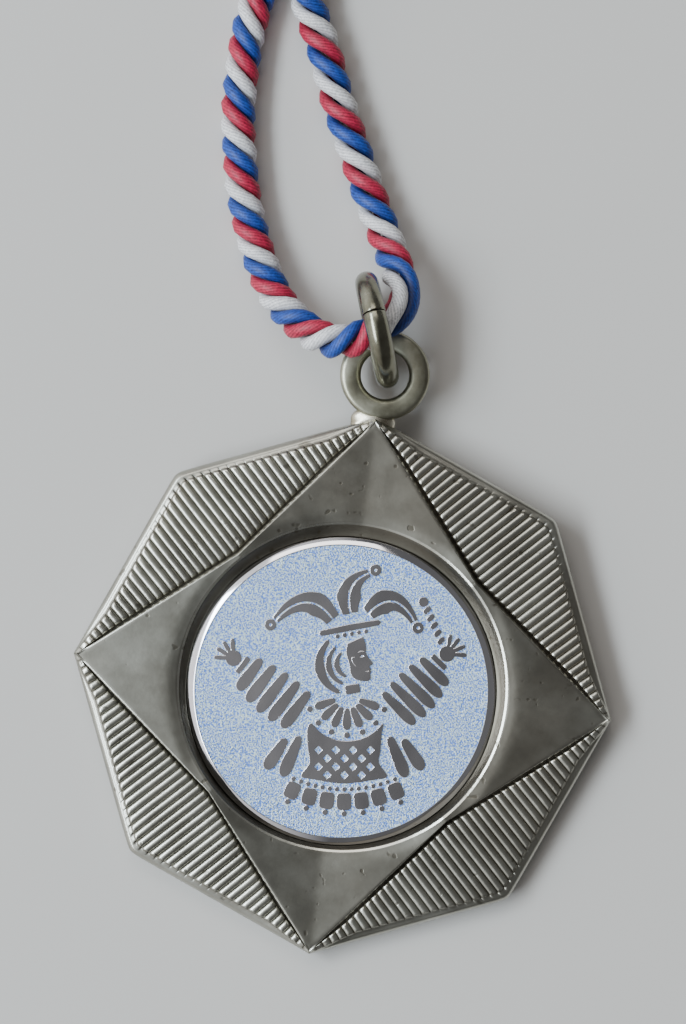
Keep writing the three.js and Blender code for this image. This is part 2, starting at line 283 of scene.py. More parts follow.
def smooth_path(points, step):
    """Points an even step apart on a centripetal Catmull-Rom curve through points."""
    p = np.array(points, float)
    p = np.vstack([2 * p[0] - p[1], p, 2 * p[-1] - p[-2]])
    dense = []
    for a, b, c, d in zip(p, p[1:], p[2:], p[3:]):
        t = np.cumsum([0] + [np.linalg.norm(v - u) ** 0.5 for u, v in ((a, b), (b, c), (c, d))])
        for s in np.linspace(t[1], t[2], 24, endpoint=False):
            ab = (t[1] - s) / (t[1] - t[0]) * a + (s - t[0]) / (t[1] - t[0]) * b
            bc = (t[2] - s) / (t[2] - t[1]) * b + (s - t[1]) / (t[2] - t[1]) * c
            cd = (t[3] - s) / (t[3] - t[2]) * c + (s - t[2]) / (t[3] - t[2]) * d
            abc = (t[2] - s) / (t[2] - t[0]) * ab + (s - t[0]) / (t[2] - t[0]) * bc
            bcd = (t[3] - s) / (t[3] - t[1]) * bc + (s - t[1]) / (t[3] - t[1]) * cd
            dense.append((t[2] - s) / (t[2] - t[1]) * abc + (s - t[1]) / (t[2] - t[1]) * bcd)
    dense = np.array(dense + [p[-2]])
    run = np.concatenate([[0], np.cumsum(np.linalg.norm(np.diff(dense, axis=0), axis=1))])
    even = np.linspace(0, run[-1], int(round(run[-1] / step)) + 1)
    line = np.column_stack([np.interp(even, run, dense[:, i]) for i in range(3)])
    for _ in range(3):
        line[1:-1] = (line[:-2] + 2 * line[1:-1] + line[2:]) / 4
    return line


def carried_frames(line):
    """Tangent, side and up at each point, carried along without twist."""
    tangent = np.gradient(line, axis=0)
    tangent /= np.linalg.norm(tangent, axis=1)[:, None]
    side = np.cross(tangent[0], [0, 0, 1.0])
    sides = []
    for t in tangent:
        side = side - t * side.dot(t)
        side = side / np.linalg.norm(side)
        sides.append(side)
    sides = np.array(sides)
    return tangent, sides, np.cross(tangent, sides)


def twisted_cord(name, points, start_turn, order, lay_of_leg):
    """Three strands round a line, laid to the left. order is the sign in which they follow."""
    line = smooth_path(points, ROPE_STEP)
    _, side, up = carried_frames(line)
    run = np.arange(len(line)) * ROPE_STEP
    pitch, slack_turns, slack_length = lay_of_leg
    slack = np.clip(run / slack_length, 0, 1)
    turns = run / pitch - slack_turns * slack * slack * (3 - 2 * slack)
    tight = np.clip(np.gradient(turns, run) * pitch, 0, 1)
    strand_radius, strand_offset = [
        loose + tight * (firm - loose) for firm, loose in zip(TIGHT_STRAND, SLACK_STRAND)
    ]
    turn = np.arange(STRAND_SIDES) * math.tau / STRAND_SIDES
    verts, faces, slots, uvs, painted_shade_facing = [], [], [], [], []
    for strand in range(3):
        lay = start_turn - math.tau * turns + order * strand * math.tau / 3
        outward = np.cos(lay)[:, None] * side + np.sin(lay)[:, None] * up
        centre = line + strand_offset[:, None] * outward
        along, across, over = carried_frames(centre)
        radius = strand_radius * (1 + 0.02 * np.sin(run * 1.7 + strand * 2))
        first = len(verts)
        for i, point in enumerate(centre):
            ring = np.cos(turn)[:, None] * across[i] + np.sin(turn)[:, None] * over[i]
            verts.extend(point + radius[i] * ring)
            # Painted shade: how far each point faces out from the cord's middle, used to darken the
            # strands in the grooves between them.
            painted_shade_facing.extend(ring @ outward[i])
        for i in range(len(centre) - 1):
            for j in range(STRAND_SIDES):
                k = (j + 1) % STRAND_SIDES
                low, high = first + i * STRAND_SIDES, first + (i + 1) * STRAND_SIDES
                faces.append((low + j, low + k, high + k, high + j))
                slots.append(strand)
                u0, u1 = j / STRAND_SIDES, (j + 1) / STRAND_SIDES
                v0, v1 = run[i] / YARN_PITCH, run[i + 1] / YARN_PITCH
                uvs.append([(u0, v0), (u1, v0), (u1, v1), (u0, v1)])
        last = first + (len(centre) - 1) * STRAND_SIDES
        for cap in (range(first, first + STRAND_SIDES), range(last, last + STRAND_SIDES)):
            faces.append(tuple(cap))
            slots.append(strand)
            uvs.append([(0.0, 0.0)] * STRAND_SIDES)
    obj = new_object(name, verts, faces, transform=Matrix.Translation(CORD_ORIGIN))
    obj.data.polygons.foreach_set("material_index", slots)
    obj.data.attributes.new("painted_shade_facing", "FLOAT", "POINT").data.foreach_set("value", painted_shade_facing)
    layer = obj.data.uv_layers.new(name="strand")
    layer.data.foreach_set("uv", np.array([c for face in uvs for c in face]).ravel())
    face_out(obj)
    return obj, [tuple(Vector(p) * MM + CORD_ORIGIN) for p in line[::2]]


def make_cord():
    legs = (
        ("neck_cord_left_leg", LEFT_LEG, LAY_START, 1, LEFT_LAY),
        ("neck_cord_right_leg", RIGHT_LEG, math.pi - LAY_START, -1, RIGHT_LAY),
    )
    made = []
    for name, leg, *lay in legs:
        cord, path = twisted_cord(name, leg + coil_points(leg[-1]), *lay)
        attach(cord, "neck_cord")
        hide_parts("neck_cord_run", "neck_cord_coil")
        made.append((cord, path))
    return made


cord_legs = make_cord()


# -------- crimp on the cord's ends

FERRULE_INSIDE = 1.5
FERRULE_WALL = 0.35
FERRULE_DENTS = (-2.4, 0.2, 2.8)
DENT_DEPTH = 0.35
DENT_WIDTH = 0.55


def stadium(radius, half_height, count):
    """Points round an upright stadium: two half circles joined by straight sides."""
    points = []
    for i in range(count):
        angle = math.tau * (i + 0.5) / count
        side, up = math.cos(angle), math.sin(angle)
        points.append((radius * side, radius * up + math.copysign(half_height, up)))
    return points


def make_ferrule():
    """A folded sheet sleeve, open towards the cord and pinched three times."""
    count, half = 40, CORD_DIAMETER / 2
    low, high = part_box("end_ferrule")
    centre = (low + high) / 2
    stations = np.linspace(-FERRULE_LENGTH / 2, FERRULE_LENGTH / 2, 46)
    outer, inner = FERRULE_INSIDE + FERRULE_WALL, FERRULE_INSIDE
    mouth = stations[0]
    rings = [(mouth + 3.5, inner - 0.1), (mouth + 0.1, inner), (mouth, inner + 0.1)]
    rings += [(x, outer) for x in stations]
    rings += [(stations[-1], outer - 0.35), (stations[-1] - 0.05, outer - 0.8)]
    verts, faces = [], []
    for x, radius in rings:
        dent = sum(math.exp(-(((x - d) / DENT_WIDTH) ** 2)) for d in FERRULE_DENTS)
        pinch = DENT_DEPTH * dent if radius > inner + 0.15 else 0.0
        for side, up in stadium(radius, half, count):
            hollow = math.exp(-((up / 1.1) ** 2))
            verts.append((x, side * (1 - pinch * hollow / radius), up * (1 - 0.12 * pinch)))
    for i in range(len(rings) - 1):
        for j in range(count):
            k = (j + 1) % count
            faces.append((i * count + j, i * count + k, (i + 1) * count + k, (i + 1) * count + j))
    faces.append(tuple(range(count)))
    faces.append(tuple(range((len(rings) - 1) * count, len(rings) * count)))
    obj = new_object("crimped_ferrule", verts, faces, transform=Matrix.Translation(centre))
    face_out(obj)
    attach(obj, "neck_cord")
    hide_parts("end_ferrule")
    return obj


ferrule = make_ferrule()


# -------- medal plate

PLATE_RADIUS = 22.0
STAR_TIP = 21.7
STAR_NOTCH = 13.65
FLUTES = 47
LIP_RADIUS, SEAT_RADIUS = 13.4, 12.56
TIP_Z, NOTCH_Z, FOLD_Z = 2.4, 3.5, 2.85
FOLD_SOFTNESS = 0.3
GROOVE_Z, RIM_Z = 1.98, 2.02
FIELD_IN_Z, FIELD_OUT_Z = 2.2, 1.9  # the fields fall away towards the plate's edge
FIELD_WIDTH = 8.0
FLUTE_HEIGHT = 0.26
CORNER_SOFTNESS = 0.35
SEAT_Z = 1.7
SIDE_Z, BACK_EDGE_Z = 1.62, 0.3
BACK_RECESS_RADIUS, BACK_RECESS_DEPTH = 12.8, 0.35
LIP_DIP, LIP_DIP_WIDTH = 0.13, 0.95  # the star's face rounds down to the bezel
LIP_BEVEL, LIP_BEVEL_DROP = 0.2, 0.09
WALL_FOOT_Z = 2.2
FULL_FIELD = 2.4  # a field narrower than this has its stations drawn together
FIELD_OPENS = (0.25, 1.6)  # between these widths the flutes rise from nothing
# Shares of the way out on a star arm, from the lip to the arm's edge
ARM_STATIONS = (0.0, 0.03, 0.06, 0.1, 0.15, 0.28, 0.42, 0.56, 0.7, 0.82, 0.92, 0.97)
WALL_STATIONS = (0.12, 0.25, 0.4, 0.55, 0.7, 0.85, 1.0)


def arm_height(x, y):
    """Height of a star arm that lies along +X, at a point on it."""
    along = (TIP_Z - FOLD_Z) / (STAR_TIP - LIP_RADIUS)
    notch = STAR_NOTCH / math.sqrt(2)
    at_notch = FOLD_Z + along * (notch - LIP_RADIUS)
    across = (NOTCH_Z - at_notch) / notch
    fold = math.sqrt(y * y + FOLD_SOFTNESS**2) - FOLD_SOFTNESS
    return FOLD_Z + along * (x - LIP_RADIUS) + across * fold


def flute_places():
    """How far across the field, from 0 at the diagonal to 1 at the tip, each column lies,
    and how high the flute stands there."""
    steps = (0.0, 0.15, 0.28, 0.38, 0.45, 0.5)
    offsets = sorted({-u for u in steps} | set(steps))
    half = FLUTES / 2
    columns = {}
    for k in range(FLUTES // 2 + 1):
        for u in offsets:
            place = k + u
            if 0 <= place <= half:
                columns[round(place / half, 6)] = (1 - abs(2 * u) ** 2.4) ** 0.55
    return sorted(columns.items())


def smoothstep(low, high, x):
    t = min(max((x - low) / (high - low), 0.0), 1.0)
    return t * t * (3 - 2 * t)


# Stations across a fluted field: distance in from the star's edge, height of the ground, and
# the share of the flute's height there.
FIELD_IN = (
    (0.04, -0.07, 0.0),
    (0.20, None, 0.0),
    (0.30, None, 0.0),
    (0.36, None, 0.55),
    (0.46, None, 0.88),
    (0.62, None, 1.0),
)
# The same from the plate's edge inward: distance, ground, share of the flute.
FIELD_OUT = (
    (1.05, None, 1.0),
    (0.90, None, 0.88),
    (0.80, None, 0.5),
    (0.74, RIM_Z, 0.0),
    (0.46, RIM_Z, 0.0),
    (0.34, RIM_Z - 0.04, 0.0),
    (0.20, RIM_Z - 0.13, 0.0),
    (0.09, RIM_Z - 0.26, 0.0),
    (0.02, RIM_Z - 0.42, 0.0),
)


def plate_column(place, flute):
    """One line of points from the middle of the seat, over the rim, to the middle of the back,
    at a place across the field. Given in the frame of the field's diagonal and the arm at +X.
    Each point's fourth item, its relief, is 0 in a deep hollow and 1 on a rubbed edge."""
    half = math.sqrt(0.5)

    def turned(s, t):
        return ((s + t) * half, (s - t) * half)

    tip_s = STAR_TIP * half
    edge_s = STAR_NOTCH + place * (tip_s - STAR_NOTCH)
    edge_t = place * tip_s
    out_t = place * PLATE_RADIUS * half
    slope = math.tan(math.pi / 8)
    out_s = PLATE_RADIUS - slope * math.hypot(out_t, CORNER_SOFTNESS)
    if place > 0.999:
        out_s = PLATE_RADIUS * half
    edge = np.array(turned(edge_s, edge_t))
    out = np.array(turned(out_s, out_t))
    length = float(np.linalg.norm(out - edge))
    reach = min(1.0, length / FULL_FIELD)
    open_field = smoothstep(*FIELD_OPENS, length)
    edge_radius = float(np.linalg.norm(edge))
    way = edge / edge_radius
    edge_z = arm_height(*edge)
    points = []

    def put(xy, z, relief):
        points.append((xy[0], xy[1], z, relief))

    def field_z(distance):
        return FIELD_IN_Z + (FIELD_OUT_Z - FIELD_IN_Z) * distance / FIELD_WIDTH

    room = edge_radius - LIP_RADIUS
    for share in ARM_STATIONS:
        xy = way * (LIP_RADIUS + share * room)
        dip = LIP_DIP * (1 - smoothstep(-0.3, LIP_DIP_WIDTH, share * room))
        dip *= min(1.0, room / LIP_DIP_WIDTH)
        put(xy, arm_height(*xy) - dip, 0.6)
    put(edge, edge_z - 0.02, 1.0)
    across = (out - edge) / max(length, 1e-6)
    for i, (distance, drop, share) in enumerate(FIELD_IN):
        xy = edge + across * distance * reach
        ground = GROOVE_Z if i < 3 else field_z(distance * reach)
        if drop is not None:
            ground = edge_z + drop
        level = edge_z + (RIM_Z - edge_z) * min(1.0, distance * reach / length)
        z = level + open_field * (ground + share * flute * FLUTE_HEIGHT - level)
        put(xy, z, 0.15 + 0.85 * share * flute if drop is None else 0.9)
    for f in (0.25, 0.5, 0.75):
        near, far = FIELD_IN[-1][0] * reach, length - FIELD_OUT[0][0] * reach
        xy = edge + across * (near + f * (far - near))
        level = edge_z + (RIM_Z - edge_z) * (near + f * (far - near)) / length
        ground = field_z(near + f * (far - near))
        put(xy, level + open_field * (ground + flute * FLUTE_HEIGHT - level), 0.15 + 0.85 * flute)
    for distance, rim, share in FIELD_OUT:
        xy = out - across * distance * reach
        ground = field_z(length - distance * reach) if rim is None else rim
        level = edge_z + (RIM_Z - edge_z) * (length - distance * reach) / length
        if rim is not None and distance < 0.5:
            z = ground
        else:
            z = level + open_field * (ground + share * flute * FLUTE_HEIGHT - level)
        put(xy, z, 0.15 + 0.85 * share * flute if rim is None else 0.8)
    put(out, SIDE_Z - 0.1, 0.7)
    put(out, BACK_EDGE_Z, 0.6)
    inward = out / np.linalg.norm(out)
    put(out - inward * 0.12, 0.08, 0.6)
    put(out - inward * 0.35, 0.0, 0.5)
    for radius, z in (
        (BACK_RECESS_RADIUS + 0.15, 0.0),
        (BACK_RECESS_RADIUS, 0.08),
        (BACK_RECESS_RADIUS - 0.08, BACK_RECESS_DEPTH),
        (6.0, BACK_RECESS_DEPTH),
    ):
        put(inward * radius, z, 0.5)
    return points


def seat_column(way, lip_z):
    """The points of a column that lie within the bezel's lip, from the middle outward."""
    offset = np.array(DISC_OFFSET)
    along = offset.dot(way)
    foot = along + math.sqrt(SEAT_RADIUS**2 - offset.dot(offset) + along**2)
    points = [(6.0, SEAT_Z, 0.0), (foot - 0.5, SEAT_Z, 0.0), (foot - 0.06, SEAT_Z + 0.02, 0.0)]
    points += [(foot, SEAT_Z + 0.1, 0.05), (foot + 0.01, WALL_FOOT_Z, 0.1)]
    inner, bevel_z = LIP_RADIUS - LIP_BEVEL, lip_z - LIP_BEVEL_DROP - 0.03
    for share in WALL_STATIONS:
        z = WALL_FOOT_Z + 0.02 + (bevel_z - WALL_FOOT_Z) * share**1.7
        points.append((foot + (inner - foot) * share, z, 0.15))
    points.append((inner + 0.03, lip_z - LIP_BEVEL_DROP, 1.0))
    points.append((LIP_RADIUS - 0.03, lip_z - 0.01, 1.0))
    return [(*(way * radius), z, relief) for radius, z, relief in points]


def make_plate():
    eighth = [plate_column(place, flute) for place, flute in flute_places()]
    columns = []
    for quarter in range(4):
        turn = quarter * math.pi / 2
        c, s = math.cos(turn), math.sin(turn)
        # from the arm at this quarter's start, over the diagonal, to the next arm
        first = [[(x, y, z, r) for x, y, z, r in column] for column in eighth[::-1]]
        second = [[(y, x, z, r) for x, y, z, r in column] for column in eighth[1:-1]]
        for column in first + second:
            column = [(c * x - s * y, s * x + c * y, z, r) for x, y, z, r in column]
            way = np.array(column[0][:2]) / math.hypot(*column[0][:2])
            columns.append(seat_column(way, column[0][2]) + column)
    rows, count = len(columns[0]), len(columns)
    flat = [point for column in columns for point in column]
    verts = [p[:3] for p in flat]
    relief = [p[3] for p in flat]
    faces = []
    for i in range(count):
        a, b = i * rows, ((i + 1) % count) * rows
        faces += [(a + j, a + j + 1, b + j + 1, b + j) for j in range(rows - 1)]
    for row, z in ((0, SEAT_Z), (rows - 1, BACK_RECESS_DEPTH)):
        verts.append((0.0, 0.0, z))
        relief.append(0.3)
        hub = len(verts) - 1
        faces += [(hub, i * rows + row, ((i + 1) % count) * rows + row) for i in range(count)]
    plate = new_object("medal_casting", verts, faces, transform=MEDAL)
    attribute = plate.data.attributes.new("relief", "FLOAT", "POINT")
    attribute.data.foreach_set("value", relief)
    face_out(plate)
    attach(plate, "medal")
    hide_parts("medal_plate")
    return plate


plate = make_plate()


# -------- eye, solder, ring

EYE_CENTRE = (0.3, 25.5)
EYE_RADIUS, EYE_HOLE = 3.65, 1.95
EYE_LOW, EYE_HIGH = 0.4, 2.3
SUPER_ROUND = 4.2


def ring_section(half_width, half_height, count, power):
    """Points of a closed section between a rectangle and an ellipse."""
    points = []
    for i in range(count):
        angle = math.tau * i / count
        c, s = math.cos(angle), math.sin(angle)
        across = math.copysign(abs(c) ** (2 / power) * half_width, c)
        over = math.copysign(abs(s) ** (2 / power) * half_height, s)
        points.append((across, over))
    return points


def swept_ring(name, radius, section, start, end, count, transform, closed):
    """A section swept round a circle in the XY plane, from one angle to another."""
    verts, faces = [], []
    sides = len(section)
    stations = count if closed else count + 1
    for i in range(stations):
        angle = start + (end - start) * i / count
        for across, over in section:
            r = radius + across
            verts.append((r * math.cos(angle), r * math.sin(angle), over))
    for i in range(count):
        a, b = i * sides, ((i + 1) % stations) * sides
        faces += [(a + j, b + j, b + (j + 1) % sides, a + (j + 1) % sides) for j in range(sides)]
    if not closed:
        faces += [tuple(range(sides)), tuple(range(count * sides, (count + 1) * sides))]
    obj = new_object(name, verts, faces, transform=transform)
    face_out(obj)
    return obj


def make_eye():
    section = ring_section(
        (EYE_RADIUS - EYE_HOLE) / 2, (EYE_HIGH - EYE_LOW) / 2, 32, SUPER_ROUND
    )
    place = Vector((*EYE_CENTRE, (EYE_LOW + EYE_HIGH) / 2)) * MM
    eye = swept_ring(
        "suspension_loop",
        (EYE_RADIUS + EYE_HOLE) / 2,
        section,
        0,
        math.tau,
        96,
        MEDAL @ Matrix.Translation(place),
        True,
    )
    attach(eye, "medal")
    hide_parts("suspension_eye")
    return eye


eye = make_eye()

RING_SEAM = math.radians(73)
SEAM_HALF_GAP = 0.035


def make_jump_ring():
    section = ring_section(RING_WIRE, RING_WIRE, 28, 2.0)
    gap = SEAM_HALF_GAP / RING_RADIUS
    low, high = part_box("jump_ring")
    centre = (low + high) / 2
    stand = (
        Matrix.Translation(centre)
        @ Matrix.Rotation(math.pi / 2 + RING_YAW, 4, "Z")
        @ Matrix.Rotation(math.pi / 2, 4, "X")
    )
    ring = swept_ring(
        "split_ring",
        RING_RADIUS,
        section,
        RING_SEAM + gap,
        RING_SEAM + math.tau - gap,
        150,
        stand,
        False,
    )
    bevel = ring.modifiers.new("worn_ends", "BEVEL")
    bevel.width = 0.07 * MM
    bevel.segments = 3
    bevel.limit_method = "ANGLE"
    bevel.angle_limit = math.radians(60)
    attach(ring, "ring")
    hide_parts("jump_ring")
    return ring


ring = make_jump_ring()


BEAD_SIZE = (1.95, 0.95, 0.78)
BEAD_PLACE = (-0.2, PLATE_RADIUS - 0.05, 1.35)
BEAD_BEND, BEAD_LUMP = 0.16, 0.10


def make_solder():
    """A lumpy bead in the notch between the plate's corner and the eye."""
    bm = bmesh.new()
    bmesh.ops.create_icosphere(bm, subdivisions=5, radius=1.0)
    for v in bm.verts:
        v.co *= 1 + BEAD_LUMP * math.sin(3.1 * v.co.x + 1.0) * math.cos(4.3 * v.co.y)
        v.co *= Vector(BEAD_SIZE)
        v.co.y -= BEAD_BEND * v.co.x**2
        v.co = (v.co + Vector(BEAD_PLACE)) * MM
    mesh = bpy.data.meshes.new("solder_bead")
    bm.to_mesh(mesh)
    bm.free()
    mesh.transform(MEDAL)
    mesh.polygons.foreach_set("use_smooth", [True] * len(mesh.polygons))
    bead = bpy.data.objects.new("solder_bead", mesh)
    bpy.context.collection.objects.link(bead)
    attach(bead, "medal")
    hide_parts("solder_fillet")
    return bead


solder = make_solder()


# -------- centre disc

DISC_RADIUS = 12.5
BAND_RADIUS = 11.9  # the disc's bright band starts here and slopes down outward
FROST_RADIUS = 11.85
RIM_DROP = 0.26


def make_disc():
    profile = [(0.0, DISC_LOW), (BAND_RADIUS, DISC_LOW), (DISC_RADIUS - 0.08, DISC_LOW)]
    profile += [(DISC_RADIUS, DISC_LOW + 0.06), (DISC_RADIUS, DISC_HIGH - RIM_DROP - 0.04)]
    profile += [(DISC_RADIUS - 0.04, DISC_HIGH - RIM_DROP), (12.2, DISC_HIGH - RIM_DROP / 2)]
    profile += [(BAND_RADIUS + 0.05, DISC_HIGH - 0.02), (BAND_RADIUS, DISC_HIGH)]
    profile += [(FROST_RADIUS, DISC_HIGH - 0.01), (FROST_RADIUS - 0.05, DISC_HIGH - 0.03)]
    profile += [(FROST_RADIUS - 0.09, DISC_HIGH - 0.03), (0.0, DISC_HIGH - 0.03)]
    count = 180
    verts, faces = [], []
    inner = profile[1:-1]
    for i in range(count):
        angle = math.tau * i / count
        verts += [(r * math.cos(angle), r * math.sin(angle), z) for r, z in inner]
    rows = len(inner)
    for i in range(count):
        a, b = i * rows, ((i + 1) % count) * rows
        faces += [(a + j, b + j, b + j + 1, a + j + 1) for j in range(rows - 1)]
    for (_, z), row in ((profile[0], 0), (profile[-1], rows - 1)):
        verts.append((0.0, 0.0, z))
        hub = len(verts) - 1
        faces += [(hub, i * rows + row, ((i + 1) % count) * rows + row) for i in range(count)]
    place = Matrix.Translation(Vector((*DISC_OFFSET, 0)) * MM)
    disc = new_object("centre_disc", verts, faces, transform=MEDAL @ place)
    face_out(disc)
    frost_row = len(profile) - 4
    for i, polygon in enumerate(disc.data.polygons[: count * (rows - 1)]):
        if i % (rows - 1) >= frost_row - 1:
            polygon.material_index = 1
    for polygon in disc.data.polygons[count * rows :]:
        polygon.material_index = 1
    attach(disc, "medal")
    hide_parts("insert_disc")
    return disc


disc = make_disc()


# -------- figure on the disc

FIGURE_TURN = math.radians(6.8)
FIGURE_SHIFT = -0.14
FIGURE_HIGH = 0.09  # how far the polished figure stands above the etched ground
FIGURE_EDGE = 0.05
OUTLINE_STEP = 0.14


def smooth_outline(points, closed=True):
    """A curve through points. A point with a third item is a sharp corner."""
    places = [np.array(p[:2], float) for p in points]
    sharp = [len(p) > 2 for p in points]
    count = len(points)
    line = []
    for i in range(count if closed else count - 1):
        b, c = places[i], places[(i + 1) % count]
        a, d = places[i - 1], places[(i + 2) % count]
        if sharp[i] or (not closed and i == 0):
            a = b + (b - c) * 0.5
        if sharp[(i + 1) % count] or (not closed and i == count - 2):
            d = c + (c - b) * 0.5
        pieces = max(2, int(math.ceil(np.linalg.norm(c - b) / OUTLINE_STEP)))
        for t in np.arange(pieces) / pieces:
            bend = (2 * a - 5 * b + 4 * c - d) * t**2 + (3 * b - a - 3 * c + d) * t**3
            line.append(0.5 * (2 * b + (c - a) * t + bend))
    if not closed:
        line.append(places[-1])
    return [tuple(p) for p in line]


def ribbon(points, widths):
    """The outline of a line with a width that changes evenly from one item to the next."""
    line = np.array(smooth_outline(points, closed=False))
    along = np.gradient(line, axis=0)
    along /= np.linalg.norm(along, axis=1)[:, None]
    across = np.column_stack([-along[:, 1], along[:, 0]])
    half = np.interp(np.linspace(0, len(widths) - 1, len(line)), range(len(widths)), widths) / 2
    left, right = line + across * half[:, None], line - across * half[:, None]
    ends = [line[-1] + along[-1] * half[-1], line[0] - along[0] * half[0]]
    return [tuple(p) for p in [*left, ends[0], *right[::-1], ends[1]]]


def dot(x, y, radius):
    count = 14
    return [
        (x + radius * math.cos(math.tau * i / count), y + radius * math.sin(math.tau * i / count))
        for i in range(count)
    ]


def block(x, y, wide, high, turn=0.0, soft=0.3):
    """A rectangle with rounded corners."""
    c, s = math.cos(turn), math.sin(turn)
    points = []
    for i in range(20):
        angle = math.tau * (i + 0.5) / 20
        u = math.copysign(abs(math.cos(angle)) ** soft, math.cos(angle)) * wide / 2
        v = math.copysign(abs(math.sin(angle)) ** soft, math.sin(angle)) * high / 2
        points.append((x + c * u - s * v, y + s * u + c * v))
    return points


def petal(inner, outer, wide):
    """A long drop from its narrow inner end to its round outer end."""
    inner, outer = np.array(inner), np.array(outer)
    along = outer - inner
    length = np.linalg.norm(along)
    along = along / length
    side = np.array([-along[1], along[0]])
    sections = ((0.0, 0.22), (0.08, 0.62), (0.4, 0.86), (0.75, 1.0), (0.93, 0.72), (1.0, 0.2))
    left, right = [], []
    for share, width in sections:
        spine = inner + along * share * length
        left.append(tuple(spine + side * width * wide / 2))
        right.append(tuple(spine - side * width * wide / 2))
    return smooth_outline(left + right[::-1])


# The outlines are drawn with the figure upright, from the disc's centre. The third item of a
# point marks a corner.
SHARP = 1

# The head is the writer's own plain profile, in thirds of a face: hairline, brow, nose, chin.
FACE_THIRD = 1.16
FACE_PLACE = (2.42, 0.95)
FACE_TILT = math.radians(9)
FACE = [
    (-0.02, 3.02, SHARP),
    (0.08, 2.5),
    (0.04, 2.05),
    (0.0, 1.88),
    (0.2, 1.45),
    (0.38, 1.14),
    (0.32, 1.04),
    (0.13, 0.98),
    (0.12, 0.82),
    (0.2, 0.72),
    (0.1, 0.63, SHARP),
    (0.17, 0.54),
    (0.08, 0.4),
    (0.1, 0.2),
    (0.0, 0.02),
    (-0.25, -0.04),
    (-0.95, 0.2),
    (-1.2, 0.62),
    (-1.22, 1.3),
    (-1.3, 2.1),
    (-1.15, 2.72, SHARP),
]
FACE_EYE = [(-0.12, 1.7, SHARP), (-0.27, 1.83), (-0.46, 1.68, SHARP), (-0.27, 1.64)]
FACE_BROW = [(-0.1, 2.03), (-0.28, 2.1), (-0.5, 2.02)]
FACE_MOUTH = [(0.05, 0.63), (-0.08, 0.615), (-0.2, 0.64)]
FACE_EAR = [(-0.8, 1.72), (-0.98, 1.75), (-1.03, 1.5), (-0.9, 1.2), (-0.8, 1.08)]

# A plain jester built up from repeats: a horned cap, a ruff, puffed sleeves, a checked tunic.
CAP_BAND = [(-1.5, 4.7), (0.9, 5.2), (3.1, 5.6)]
CAP_BEADS = 5
CAP_BEAD_ENDS = ((-0.2, 4.462), (2.1, 4.876))
# A horn's root, its bend and its tip, where a bell hangs
CAP_HORNS = (
    ((-0.6, 5.85), (-2.6, 8.6), (-5.2, 5.8)),
    ((0.85, 6.35), (0.2, 8.8), (2.3, 9.6)),
    ((2.3, 6.35), (4.4, 8.6), (6.0, 5.7)),
)
HORN_WIDTH, HORN_GAP = 2.0, 0.18
HORN_BELL = 0.45
HOOD_MIDDLE = (0.9, 2.3)
HOOD_CURLS = ((2.55, 0.8), (1.8, 0.5), (1.15, 0.45))  # radius and width
COLLAR, COLLAR_SIZE = (1.05, 0.2), (1.15, 0.7)
NECK = (0.6, -0.35)
RUFF_PETALS = 7
RUFF_FROM, RUFF_TO = 200, 340  # degrees round the neck
RUFF_INNER, RUFF_OUTER, RUFF_BEAD = 1.05, 2.75, 3.2
SLEEVES = (((-2.9, -1.6), (-7.6, 1.9)), ((4.2, -1.5), (7.8, 2.2)))  # shoulder and wrist
SLEEVE_PUFFS = 5
PUFF_SHARE = 0.84  # of the pitch that a puff fills
CUFF_SIZE = (0.42, 1.5)
PALM, FINGER_LENGTH, FINGER_WIDTH = 0.62, 0.95, 9.0  # the width is an angle in degrees
FINGER_SPREAD = (-50, -22, 6, 34)
STICK_WAY = (-0.42, 0.91)
STICK_BARS = 5
STICK_START, STICK_PITCH = 1.15, 0.68
STICK_BAR_SIZE, STICK_KNOB = (0.66, 0.38), 0.38
TUNIC_MIDDLE = 0.4
TUNIC_TOP = 3.7  # from the neck
TUNIC_SIDE = ((3.0, -3.3), (2.9, -4.8), (2.8, -5.8), (3.45, -6.85))
TUNIC_FOOT = -7.45
CHECK_ROWS = (4, 3, 4, 3)
CHECK_TOP, CHECK_SIZE, CHECK_PITCH, CHECK_DROP = -4.75, 0.54, 1.4, 0.68
COAT_TAILS = (((3.65, -3.7), (5.0, -6.9)), ((4.75, -3.9), (6.35, -6.3)))
HEM_BEADS, HEM_HALF_WIDTH, HEM_Y = 15, 4.1, -7.95
HEM_CURVE = 0.05  # how much the hem lifts towards its ends
SKIRT_TABS, SKIRT_HALF_WIDTH, SKIRT_Y = 7, 4.2, -8.95
TAB_SIZE, TAB_BEAD_DROP = (1.16, 1.35), 0.98


def round_points(middle, radius, from_angle, to_angle, count):
    """Points along an arc, with its angles in degrees."""
    angles = np.radians(np.linspace(from_angle, to_angle, count))
    return [(middle[0] + radius * math.cos(a), middle[1] + radius * math.sin(a)) for a in angles]


def horn(root, bend, tip):
    """A cap's horn as two halves with a seam between them, and the bell at its tip."""
    root, bend, tip = (np.array(p) for p in (root, bend, tip))
    t = np.linspace(0, 1, 16)[:, None]
    line = (1 - t) ** 2 * root + 2 * t * (1 - t) * bend + t**2 * tip
    along = np.gradient(line, axis=0)
    along /= np.linalg.norm(along, axis=1)[:, None]
    side = np.column_stack([-along[:, 1], along[:, 0]])
    half = np.interp(t, (0, 0.3, 1), (0.6, 1.0, 0.3)) * HORN_WIDTH / 2
    halves = []
    for sign in (1, -1):
        seam, outside = line + sign * side * HORN_GAP / 2, line + sign * side * half
        halves.append([tuple(p) for p in [*seam, *outside[::-1]]])
    bell = tip + along[-1] * (HORN_BELL + 0.15)
    return halves + [dot(*bell, HORN_BELL), dot(*bell, HORN_BELL / 3)]


